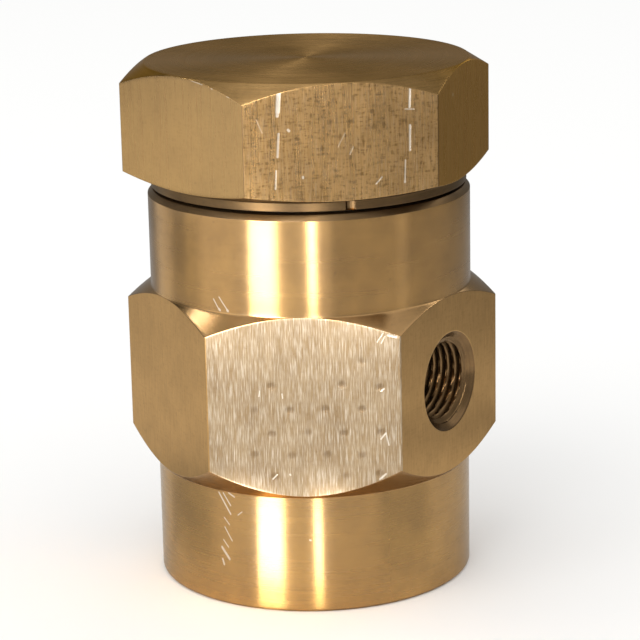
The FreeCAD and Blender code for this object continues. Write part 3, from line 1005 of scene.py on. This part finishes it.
    def mark_dents(self, body: bpy.types.Object) -> None:
        """Give the skin its "dent" attribute, 1 in the vice marks of the front face, which the
        finish darkens as painted shade.

        Places turn back into the way along the face, x cos(30) + y sin(30), and the height. A
        mark counts in full from 0.025 mm of depth.
        """
        mesh = body.data
        places = np.empty(len(mesh.vertices) * 3, np.float32)
        mesh.vertices.foreach_get("co", places)
        x, y, z = (places.reshape(-1, 3) / MM).T
        outward = 0.5 * x - math.sqrt(0.75) * y
        along = math.sqrt(0.75) * x + 0.5 * y
        depth = self.dent_depth(along, z) * (outward > self.flats / 2 - 0.3)
        dent = mesh.attributes.new("dent", "FLOAT", "POINT")
        dent.data.foreach_set("value", np.minimum(1, depth / 0.025).astype(np.float32))

    def inlet(self, skin: Skin, border: Array) -> None:
        """Face round the air inlet, its countersink, bore and the drilling to the gallery."""
        turn = np.arctan2(border[:, 1] - self.port_z, border[:, 0])
        half = self.flats / 2
        mouth = self.port_mouth_r + 0.06
        rim = np.stack([mouth * np.cos(turn), self.port_z + mouth * np.sin(turn)], axis=1)

        def on_face(flat: Array) -> Array:
            """Place of a point of the face at +X."""
            return np.concatenate([np.full(flat.shape[:-1] + (1,), half), flat], axis=-1)

        window_patch(skin, border, rim, on_face, BodyCut.FLAT, 14)
        end = half - self.port_depth
        sink = self.port_mouth_r - self.port_r
        gallery_x = np.sqrt(self.gallery_r ** 2 - (self.drill_r * np.cos(turn)) ** 2)
        bends = [
            Bend(mouth, half, 0, 1, BodyCut.PORT),
            Bend(mouth - 0.05, half - 0.03, 0, 3, BodyCut.PORT),
            Bend(self.port_r, half - sink, 0, 3, BodyCut.PORT),
            Bend(self.port_r, end, 0, 2, BodyCut.PORT),
            Bend(self.drill_r, end, 0, 4, BodyCut.PORT),
            Bend(self.drill_r, gallery_x, 0, 1, BodyCut.PORT),
        ]
        radius, depth, bands, _ = section_rows(bends, len(turn))
        points = np.stack([depth, radius * np.cos(turn), self.port_z + radius * np.sin(turn)],
                          axis=-1)
        run = np.append(turn, turn[0] + TURN) * 5.0 + 20.0  # a mean radius, and off the face
        skin.add_grid(points, wrapped_lay(run, depth), True, np.repeat(bands, len(turn)),
                      flip=True)

    def passages(self, skin: Skin) -> list[Array]:
        """Five air passages beside the gallery, as tubes; their rims are returned."""
        rings = []
        count = 32
        levels = [self.system_depth, self.chamber_floor_z]
        for number in range(1, 6):
            turn = math.radians(60 * number)
            ring = circle(self.passage_r, count, (self.passage_circle_r * math.cos(turn),
                                                  self.passage_circle_r * math.sin(turn)))
            rings.append(ring)
            tube = np.stack([np.column_stack([ring, np.full(count, z)]) for z in levels])
            run = np.linspace(0, 11.3, count + 1)  # once round the tube
            lay = np.stack(np.meshgrid(run, levels), axis=-1)
            skin.add_grid(tube, lay, True, BodyCut.LOW, flip=True)
        return rings

    def inner_faces(self, skin: Skin, roof: Array, floor: Array) -> None:
        """Roof of the lower bore, chamber floor, passages, seat hole and gallery."""
        rings = self.passages(skin)
        holed_disc(skin, roof[:, :2], rings, self.system_depth, BodyCut.LOW, up=False)
        count, reach = 72, 12  # columns of the gallery, and of its window on either side of +X
        seat = circle(self.seat_hole_r, count)
        holed_disc(skin, floor[:, :2], [*rings, seat], self.chamber_floor_z, BodyCut.LOW,
                   up=True)
        turn = ring_angles(count)
        bends = [
            Bend(self.seat_hole_r, self.chamber_floor_z, 0, 2, BodyCut.LOW),
            Bend(self.seat_hole_r, self.gallery_top_z, 0, 1, BodyCut.LOW),
            Bend(self.gallery_r, self.gallery_top_z, 0, 6, BodyCut.LOW),
            Bend(self.gallery_r, self.gallery_floor_z, 0, 2, BodyCut.LOW),
            Bend(0.0, self.gallery_point_z, 0, 1, BodyCut.LOW),
        ]
        radius, height, bands, legs = section_rows(bends, count)
        wall_top, wall_end = legs[2:4]
        band_no = np.repeat(np.arange(len(bands)), count)
        column_no = np.tile(np.arange(count), len(bands))
        window = ((band_no >= wall_top) & (band_no < wall_end)
                  & ((column_no < reach) | (column_no >= count - reach)))
        run = np.append(turn, TURN) * self.seat_hole_r
        skin.add_grid(around(radius, turn[None], height), wrapped_lay(run, height), True,
                      bands[band_no], keep=~window, flip=True)
        along = np.arange(-reach, reach + 1) * 2 * math.pi / count * self.gallery_r
        levels = height[wall_top:wall_end + 1, 0]
        border = np.concatenate([
            np.column_stack([along, np.full(len(along), levels[-1])]),
            np.column_stack([np.full(len(levels) - 1, along[-1]), levels[::-1][1:]]),
            np.column_stack([along[::-1][1:], np.full(len(along) - 1, levels[0])]),
            np.column_stack([np.full(len(levels) - 2, along[0]), levels[1:-1]])])
        spin = np.arctan2(border[:, 1] - self.port_z, border[:, 0])
        cross = self.drill_r * np.cos(spin)
        rim = np.stack([self.gallery_r * np.arcsin(cross / self.gallery_r),
                        self.port_z + self.drill_r * np.sin(spin)], axis=1)

        def on_wall(flat: Array) -> Array:
            """Place of a point of the gallery's wall."""
            return around(self.gallery_r, flat[..., 0] / self.gallery_r, flat[..., 1])

        window_patch(skin, border, rim, on_wall, BodyCut.LOW, 3, flip=True)

    def threads(self) -> list[bpy.types.Object]:
        """Pipe threads of both holes as closed liners whose inside is the helical form.

        Radius inside = minor + (major - minor) * wave(x / pitch - angle / 2 pi), never less
        than the 45 degree mouth. The liner's back stands 0.12 mm inside the metal, and its
        roots 0.004 mm clear of the bore.
        """
        # Both threads take the bore finish, dark with painted shade.
        material = BORE_SHADE_PAINTED.material()
        pieces = []
        spots = (("inlet_thread", self.port_minor_r, self.port_r, self.port_pitch,
                  self.port_thread_x, 96, True),
                 ("base_thread", self.system_minor_r, self.system_r, self.system_pitch,
                  self.system_thread_z, 144, False))
        for name, minor, major, pitch, (start, stop), count, sideways in spots:
            turn = ring_angles(count)
            depth = np.linspace(start, stop, 150)[:, None]
            form = minor + (major - minor) * thread_wave(depth / pitch - turn[None] / 2 / math.pi)
            if sideways:
                fade = np.clip(np.minimum((depth - start) / pitch, (stop - depth) / 0.2), 0, 1)
            else:
                form = np.maximum(form, self.system_mouth_r - depth)
                fade = np.clip((stop - depth) / pitch, 0, 1)
            form = np.minimum(major - 0.004, form * fade + (major - 0.004) * (1 - fade))
            back = np.full((1, count), major + 0.12)
            shell = np.concatenate([form, back, back, form[:1]])
            a, b = shell * np.cos(turn), shell * np.sin(turn)
            levels = np.broadcast_to(
                np.concatenate([depth[:, 0], [stop, start, start]])[:, None], a.shape)
            points = np.stack([levels, a, b + self.port_z] if sideways else [a, b, levels],
                              axis=-1)
            skin = Skin()
            skin.add_grid(points, wrapped_lay(np.append(turn, TURN) * minor, levels), True, 0,
                          flip=sideways)
            pieces.append(skin.build(name, [material]))
            bmesh_out(pieces[-1])
        return pieces

    def build(self) -> list[bpy.types.Object]:
        """Make the body's skin and its threads."""
        skin = Skin()
        self.outside(skin, self.columns())
        in_slot_order = (HEX_BRUSHED, LOW_TURNED, BORE_SHADE_PAINTED, HIGH_TURNED, HEX_FRONT, SHADE_PAINTED_EDGES,
                         CONE_TURNED)
        body = skin.build("body_skin", [finish.material() for finish in in_slot_order])
        bmesh_out(body)
        self.mark_dents(body)
        pieces = [body, *self.threads()]
        for piece in pieces:
            settle(piece, BodyName.HOUSING, "valve_body")
        return pieces


@dataclass
class Cap:
    """Hexagon cap: flat turned top, chamfered corners, round face with a nick, hollow spigot."""

    flats: float = 36.0
    turn_deg: float = 14.4
    bottom_z: float = 44.65
    face_r: float = 17.55
    hex_low_z: float = 45.6
    low_slope_deg: float = 18.7
    top_z: float = 58.27
    top_flat_r: float = 17.9
    corner_drop: float = 1.83
    spigot_bottom_z: float = 37.65
    spigot_r: float = 13.5
    relief: tuple[float, float] = (0.6, 1.2)
    cavity_r: float = 11.0
    roof_z: float = 51.0
    boss_r: float = 4.4
    boss_bottom_z: float = 44.0
    bush_hole_r: float = 2.92
    bush_top_z: float = 52.0
    stem_room_r: float = 2.0
    stem_room_top_z: float = 55.5
    nick_deg: float = -42.6
    nick_width: float = 0.95
    nick_depth: float = 0.45

    def build(self) -> list[bpy.types.Object]:
        """Make the cap's skin from the stem room round the spigot to the top's centre."""
        cols = HexColumns(self.flats, self.turn_deg, 0.1, (44, 34, 34, 34, 44, 72))
        reach = cols.reach
        corner = self.flats / 2 / math.cos(HALF_FACE)
        low_slope = math.tan(math.radians(self.low_slope_deg))
        low_z = self.hex_low_z + (reach - self.face_r) * low_slope
        high_slope = self.corner_drop / (corner - self.top_flat_r)
        high_z = self.top_z - (reach - self.top_flat_r) * high_slope
        relief_r, relief_z = self.spigot_r - self.relief[0], self.bottom_z - self.relief[1]
        chamfer = 0.7
        turned = CapCut.TURNED
        bends = [
            Bend(0.0, self.stem_room_top_z, 0, 2, turned),
            Bend(self.stem_room_r, self.stem_room_top_z, 0, 2, turned),
            Bend(self.stem_room_r, self.bush_top_z, 0, 1, turned),
            Bend(self.bush_hole_r, self.bush_top_z, 0, 2, turned),
            Bend(self.bush_hole_r, self.boss_bottom_z, 0, 1, turned),
            Bend(self.boss_r, self.boss_bottom_z, 0, 2, turned),
            Bend(self.boss_r, self.roof_z, 0, 2, turned),
            Bend(self.cavity_r, self.roof_z, 0, 2, turned),
            Bend(self.cavity_r, self.spigot_bottom_z, 0, 1, turned),
            Bend(self.spigot_r - chamfer, self.spigot_bottom_z, 0, 1, turned),
            Bend(self.spigot_r, self.spigot_bottom_z + chamfer, 0, 3, turned),
            Bend(self.spigot_r, relief_z, 0, 1, turned),
            Bend(relief_r, relief_z, 0, 1, turned),
            Bend(relief_r, self.bottom_z, 0, 3, turned),
            # The round face under the hexagon and the hexagon's lower chamfer take the dark
            # finish: painted shade under the overhang.
            Bend(self.face_r, self.bottom_z, 0.07, 4, CapCut.SHADE_PAINTED_EDGES),
            Bend(self.face_r, self.hex_low_z, 0.07, 3, CapCut.SHADE_PAINTED_EDGES),
            Bend(reach, low_z, 0.07, 44, CapCut.FLAT),
            Bend(reach, high_z, 0.08, 5, turned),
            Bend(self.top_flat_r, self.top_z, 0.06, 30, turned),
            Bend(0.0, self.top_z, 0, 1, turned),
        ]
        radius, height, bands, legs = section_rows(bends, len(reach))
        off = (cols.angle - math.radians(self.nick_deg) + math.pi) % TURN - math.pi
        across = off * self.face_r
        notch = np.clip(1 - (np.abs(across) / (self.nick_width / 2)) ** 8, 0, 1)
        radius[legs[14] - 3:legs[15] + 1] -= self.nick_depth * notch  # rows of the round face
        # Upright corners take the dark finish too: painted shade where they would catch light.
        flat = np.where(cols.corner, CapCut.SHADE_PAINTED_EDGES,
                        np.where(cols.face == FRONT_FACE, CapCut.FRONT, CapCut.FLAT))
        slots = np.repeat(bands, len(reach))
        skin = Skin()
        skin.add_grid(around(radius, cols.angle[None], height),
                      surface_lay(cols.run(), height, radius, 60), True,
                      np.where(slots == CapCut.FLAT, np.tile(flat, len(bands)), slots))
        in_slot_order = (CAP_BRUSHED, CAP_TURNED, CAP_FRONT, SHADE_PAINTED_EDGES)
        cap = skin.build("cap_skin", [finish.material() for finish in in_slot_order])
        bmesh_out(cap)
        settle(cap, BodyName.HOUSING, "hex_cap")
        return [cap]


@dataclass
class Spring:
    """Closing spring: round wire, closed and ground ends."""

    wire_r: float = 0.25
    mean_r: float = 5.0
    low_z: float = 37.1
    high_z: float = 50.5
    active: float = 5.0
    end_turns: float = 1.0
    end_pitch: float = 0.53
    ground: float = 0.1
    keep: float = 0.776

    def build(self) -> list[bpy.types.Object]:
        """Sweep the wire along its helix.

        The centre line rises by end_pitch a turn over the end turns and evenly between them;
        the ends are ground flat by limiting the height.
        """
        steps_per_turn, sides = 60, 18
        turns = self.active + 2 * self.end_turns
        way = np.linspace(0, turns, int(turns * steps_per_turn) + 1)
        low = self.low_z + self.wire_r - self.ground
        high = self.high_z - self.wire_r + self.ground
        rise = self.end_pitch * self.end_turns
        level = np.interp(way, [0, self.end_turns, turns - self.end_turns, turns],
                          [low, low + rise, high - rise, high])
        angle = TURN * way
        around_wire = ring_angles(sides)
        shrink = np.ones((len(way), 1))
        shrink[0] = shrink[-1] = 0
        radius = self.mean_r + shrink * self.wire_r * np.cos(around_wire)[None]
        height = np.clip(level[:, None] + shrink * self.wire_r * np.sin(around_wire)[None],
                         self.low_z, self.high_z)
        # Both end rows are doubled: a point in the wire's middle, then a rim that closes it.
        order = np.concatenate([[0, 0], np.arange(1, len(way) - 1), [len(way) - 1] * 2])
        radius, height, angle = radius[order], height[order], angle[order]
        radius[1], height[1] = radius[2], height[2]
        radius[-2], height[-2] = radius[-3], height[-3]
        points = around(radius, angle[:, None], height)
        run = angle * self.mean_r / 4  # a quarter of the way, so the whole wire fits the map
        lay = np.stack(np.meshgrid(np.linspace(0, 1.6, sides + 1), run), axis=-1)[..., ::-1]
        skin = Skin()
        skin.add_grid(points, lay, True, 0)
        coil = skin.build("spring_coil", [SPRING_WIRE.material()])
        bmesh_out(coil)
        settle(coil, BodyName.HOUSING, "closing_spring")
        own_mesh(coil)
        return [coil]


@dataclass
class Trim:
    """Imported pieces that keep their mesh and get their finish."""

    finishes: tuple[tuple[str, object], ...] = (
        ("cap_gasket", FIBRE), ("seat_seal", FIBRE), ("seat_insert", STAINLESS),
        ("valve_stem", STAINLESS), ("facing_washer", STAINLESS), ("facing_nut", STAINLESS),
        ("spring_shim", STAINLESS), ("facing_seal", FACING), ("guide_bush", GUIDE))

    def dress(self) -> list[bpy.types.Object]:
        """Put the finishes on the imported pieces."""
        made: dict[str, bpy.types.Material] = {}
        pieces = []
        for node, finish in self.finishes:
            if finish.name not in made:
                made[finish.name] = finish.material()
            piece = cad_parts[node]
            piece.data.materials.clear()
            piece.data.materials.append(made[finish.name])
            pieces.append(piece)
        return pieces


def bmesh_out(piece: bpy.types.Object) -> None:
    """Turn all faces of a closed piece outwards."""
    work = bmesh.new()
    work.from_mesh(piece.data)
    bmesh.ops.recalc_face_normals(work, faces=work.faces)
    if work.calc_volume(signed=True) < 0:
        bmesh.ops.reverse_faces(work, faces=work.faces)
    work.to_mesh(piece.data)
    work.free()


def settle(piece: bpy.types.Object, body: BodyName, node: str) -> None:
    """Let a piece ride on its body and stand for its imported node."""
    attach(piece, body.value)
    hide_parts(node)


@dataclass(frozen=True)
class Card:
    """A curved card round the valve that only reflections see: strip lamp, or dark flag.

    Attributes:
        name: name of the card.
        left_deg: bearing of its left edge, to the right of the camera's bearing.
        right_deg: bearing of its right edge.
        radius: distance from the axis in millimetres.
        low: height of its lower edge in millimetres.
        high: height of its upper edge in millimetres.
        tone: brightness, 1 for white.
        side_fade: share of the width over which the left and the right edge fade.
        end_fade: share of the height over which the lower and the upper edge fade.
    """

    name: str
    left_deg: float
    right_deg: float
    radius: float
    low: float
    high: float
    tone: float
    side_fade: tuple[float, float] = (0.1, 0.1)
    end_fade: tuple[float, float] = (0.0, 0.2)


@dataclass
class Studio:
    """Pale floor, soft light and the camera of the photograph.

    Attributes:
        bearing_deg: camera's bearing, 0 looking along +Y, counted towards +X.
        distance: camera's distance from the axis in millimetres.
        eye_height: camera's height in millimetres.
        pitch: how far the camera looks down, in radians.
        yaw: how far it looks past the axis, in radians.
        roll: how far it leans, in radians.
        lens: focal length in millimetres on a 36 mm sensor.
        lamp_size: side of the square soft lamp in metres.
        lamp_power: its power in watts.
        cards: everything that the metal mirrors besides the white surroundings.
    """

    bearing_deg: float = 33.27
    distance: float = 273.76
    eye_height: float = 100.85
    pitch: float = 0.25909
    yaw: float = 0.00347
    roll: float = -0.02021
    lens: float = 140.87
    lamp_size: float = 0.5
    lamp_power: float = 1.2
    cards: tuple[Card, ...] = (
        Card("left_strip", -41.5, -21.5, 160.0, 45.0, 300.0, 30.0, (0.06, 0.16), (0.1, 0.2)),
        Card("middle_strip", -2.0, 4.4, 160.0, 22.0, 300.0, 18.0, (0.15, 0.25), (0.04, 0.2)),
        Card("left_fill", -86.0, -50.0, 220.0, 20.0, 300.0, 1.6, (0.3, 0.2), (0.1, 0.2)),
        Card("right_flag", 58.0, 175.0, 95.0, 20.0, 78.0, 0.3, (0.1, 0.1), (0.1, 0.3)),
        Card("right_low_flag", 58.0, 175.0, 97.0, 0.0, 24.0, 0.47, (0.1, 0.1), (0.0, 0.2)),
        Card("near_right_flag", 10.0, 66.0, 130.0, 0.0, 200.0, 0.48, (0.12, 0.15), (0.0, 0.3)),
        Card("left_flag", -122.0, -90.0, 200.0, 8.0, 320.0, 0.12, (0.3, 0.25), (0.1, 0.2)),
        Card("left_low_flag", -97.0, -46.0, 27.0, 0.0, 11.5, 0.62, (0.1, 0.35), (0.0, 0.1)),
        Card("left_rim_fill", -162.0, -127.0, 100.0, 0.0, 21.0, 0.55, (0.2, 0.2), (0.0, 0.2)),
        Card("upper_left_flag", -106.0, -66.0, 60.0, 19.0, 34.0, 0.5, (0.25, 0.35), (0.15, 0.1)),
        Card("back_flag", 105.0, 235.0, 110.0, 0.0, 400.0, 0.37, (0.1, 0.1), (0.0, 0.04)),
        Card("cone_light", -117.2, -115.4, 105.0, 128.0, 190.0, 32.0, (0.1, 0.1), (0.1, 0.1)),
        Card("right_glint", 109.0, 119.0, 90.0, 92.0, 118.0, 6.0, (0.2, 0.2), (0.2, 0.2)),
        Card("top_glint", -8.0, 8.0, 100.0, 225.0, 290.0, 25.0, (0.2, 0.2), (0.2, 0.2)),
        Card("right_near_flag", 60.0, 115.0, 40.0, 7.0, 13.0, 0.62, (0.2, 0.2), (0.0, 0.2)),
        Card("right_base_flag", 27.0, 68.0, 27.0, 0.0, 11.5, 0.68, (0.25, 0.2), (0.0, 0.1)),
        Card("cone_flag", -137.0, -119.5, 104.0, 70.0, 200.0, 0.03, (0.2, 0.05), (0.15, 0.1)),
        Card("cone_side_flag", -113.2, -96.0, 103.0, 140.0, 260.0, 0.35, (0.05, 0.4),
             (0.15, 0.1)),
        Card("right_cone_fill", 134.0, 152.0, 105.0, 50.0, 95.0, 1.8, (0.15, 0.15),
             (0.15, 0.15)),
        Card("upper_left_glow", -37.4, -17.5, 60.0, 21.0, 38.0, 12.0, (0.05, 0.3), (0.3, 0.2)),
        Card("upper_middle_glow", -1.5, 3.7, 60.0, 21.0, 38.0, 14.0, (0.15, 0.25), (0.3, 0.2)),
        Card("lower_left_glow", -29.0, -13.8, 27.0, 0.0, 11.5, 12.0, (0.05, 0.3), (0.0, 0.1)),
        Card("lower_middle_glow", -1.3, 3.8, 27.0, 0.0, 11.5, 10.0, (0.2, 0.3), (0.0, 0.1)))

    def camera(self) -> None:
        """Set up the camera at the photograph's viewing angle."""
        data = bpy.data.cameras.new("camera")
        data.lens = self.lens
        data.sensor_width = 36
        data.clip_start = 0.01
        data.clip_end = 50
        view = bpy.data.objects.new("camera", data)
        bpy.context.scene.collection.objects.link(view)
        right = np.array([math.cos(self.yaw), -math.sin(self.yaw), 0])
        ahead = np.array([math.sin(self.yaw) * math.cos(self.pitch),
                          math.cos(self.yaw) * math.cos(self.pitch), -math.sin(self.pitch)])
        up = np.cross(right, ahead)
        side = math.cos(self.roll) * right + math.sin(self.roll) * up
        top = -math.sin(self.roll) * right + math.cos(self.roll) * up
        pose = np.eye(4)
        pose[:3, :3] = np.stack([side, top, -ahead], axis=1)
        pose[:3, 3] = np.array([0, -self.distance, self.eye_height]) * MM
        turn = Matrix.Rotation(math.radians(self.bearing_deg), 4, "Z")
        view.matrix_world = turn @ Matrix(pose.tolist())
        bpy.context.scene.camera = view

    def towards(self, right_deg: float, distance: float, height: float) -> Vector:
        """Place seen right_deg to the right of the camera's bearing, in metres."""
        angle = math.radians(self.bearing_deg - 90 + right_deg)
        return Vector((distance * math.cos(angle), distance * math.sin(angle), height)) * MM

    def floor(self) -> None:
        """Pale floor, a wide flat disc under the valve."""
        turn = ring_angles(96)
        radius = np.array([0.0, 0.05, 0.2, 1.0, 6.0])[:, None]  # metres
        points = around(radius, turn[None], np.zeros(1)) / MM
        lay = np.zeros((5, 97, 2))
        skin = Skin()
        skin.add_grid(points, lay, True, 0)
        # Matt paper: it takes the soft contact shadow and shows no gloss.
        material, tree = blank_material("floor_paper")
        paint = add_node(tree, "BsdfDiffuse", {"Color": linear("#F7F7F6")})
        add_node(tree, "OutputMaterial", {"Surface": paint})
        floor = skin.build("floor", [material])

    def card(self, card: Card) -> None:
        """Hang one card, whose edges fade, that only reflections see."""
        across = np.linspace(0, 1, 49)[None]
        up = np.linspace(0, 1, 17)[:, None]
        bearing = card.left_deg + (card.right_deg - card.left_deg) * across
        angle = np.radians(self.bearing_deg - 90 + bearing)
        level = card.low + (card.high - card.low) * up
        points = around(card.radius, angle, level + 0 * angle)
        lay = np.stack(np.broadcast_arrays(across, up), axis=-1) * LAY_SPAN
        skin = Skin()
        skin.add_grid(points, lay, False, 0)
        # Lit cloth whose edges fade, so that bright bands in the metal get soft sides.
        material, tree = blank_material(card.name + "_light")
        lay_map = add_node(tree, "UVMap", uv_map="lay")
        cover = None
        for axis, fades in enumerate((card.side_fade, card.end_fade)):
            way = add_node(tree, "SeparateXYZ", {0: lay_map}, out=axis)
            back = add_node(tree, "Math", {0: 1.0, 1: way}, operation="SUBTRACT")
            for value, width in zip((way, back), fades):
                one = add_node(tree, "MapRange",
                               {"Value": value, "From Min": 0.0, "From Max": max(width, 1e-4)},
                               interpolation_type="SMOOTHSTEP")
                cover = one if cover is None else add_node(
                    tree, "Math", {0: cover, 1: one}, operation="MULTIPLY")
        glow = add_node(tree, "Emission",
                        {"Color": (1, 1, 1, 1), "Strength": card.tone})
        clear = add_node(tree, "BsdfTransparent")
        blend = add_node(tree, "MixShader",
                         {0: cover, 1: clear, 2: glow})
        add_node(tree, "OutputMaterial", {"Surface": blend})
        sheet = skin.build(card.name, [material])
        for flag in ("visible_camera", "visible_diffuse", "visible_transmission",
                     "visible_volume_scatter", "visible_shadow"):
            setattr(sheet, flag, False)

    def light(self) -> None:
        """Even white surroundings and one large soft lamp over the left shoulder.

        The lamp casts the soft shadow only: it isn't seen in the metal, where the cards are.
        """
        world = bpy.data.worlds.new("studio")
        bpy.context.scene.world = world
        world.use_nodes = True
        world.node_tree.nodes.clear()
        sky = add_node(world.node_tree, "Background",
                       {"Color": (1, 1, 1, 1), "Strength": 1.0})
        add_node(world.node_tree, "OutputWorld", {"Surface": sky})
        data = bpy.data.lights.new("soft_lamp", "AREA")
        data.shape = "RECTANGLE"
        data.size = data.size_y = self.lamp_size
        data.energy = self.lamp_power
        lamp = bpy.data.objects.new("soft_lamp", data)
        bpy.context.scene.collection.objects.link(lamp)
        place = self.towards(-35, 500, 600)
        aim = (Vector((0, 0, 0.03)) - place).to_track_quat("-Z", "Y")
        lamp.matrix_world = Matrix.Translation(place) @ aim.to_matrix().to_4x4()
        lamp.visible_camera = False
        lamp.visible_glossy = False

    def build(self) -> None:
        """Set up the whole studio."""
        bpy.context.scene.view_settings.view_transform = "Standard"
        self.camera()
        self.floor()
        for card in self.cards:
            self.card(card)
        self.light()


def main() -> None:
    """Build the studio and the valve, and report each piece."""
    logging.basicConfig(level=logging.INFO, format="%(message)s")
    Studio().build()
    makers: Iterable[Callable[[], list[bpy.types.Object]]] = (
        Body().build, Cap().build, Spring().build, Trim().dress)
    for make in makers:
        for piece in make():
            LOG.info("%s: %d faces", piece.name, len(piece.data.polygons))


if __name__ == "__main__":
    main()
